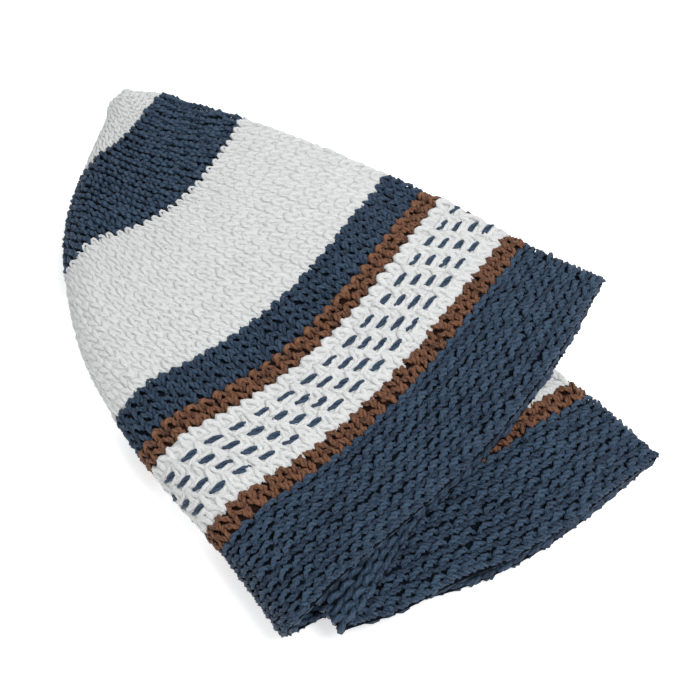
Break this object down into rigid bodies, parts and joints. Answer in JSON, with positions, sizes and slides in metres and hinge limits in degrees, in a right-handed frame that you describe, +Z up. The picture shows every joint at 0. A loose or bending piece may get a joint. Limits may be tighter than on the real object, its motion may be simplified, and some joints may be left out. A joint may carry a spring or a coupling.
{
  "type": "crocheted kufi cap folded in quarters",
  "caption": "Tall crocheted kufi cap with banded crown and sides and an openwork band, folded flat in quarters.",
  "frame": {"origin": "on the flat underside, below the middle of the wide white band", "axes": "+Y from the open rim to the crown's tip, +Z up from the surface that it lies on, +X from the fold to the creases"},
  "size_m": [0.1537, 0.2238, 0.0222],
  "materials": {
    "white_yarn": "matt crocheted white yarn",
    "blue_yarn": "soft-sheen crocheted slate blue yarn",
    "brown_yarn": "soft-sheen crocheted brown yarn"
  },
  "bodies": {
    "root": {"crown_centre": "white_yarn", "crown_ring": "blue_yarn", "white_band": "white_yarn", "upper_blue_band": "blue_yarn", "upper_brown_stripe": "brown_yarn", "openwork_band": "white_yarn", "lower_brown_stripe": "brown_yarn", "rim_band": "blue_yarn"}
  },
  "joints": []
}
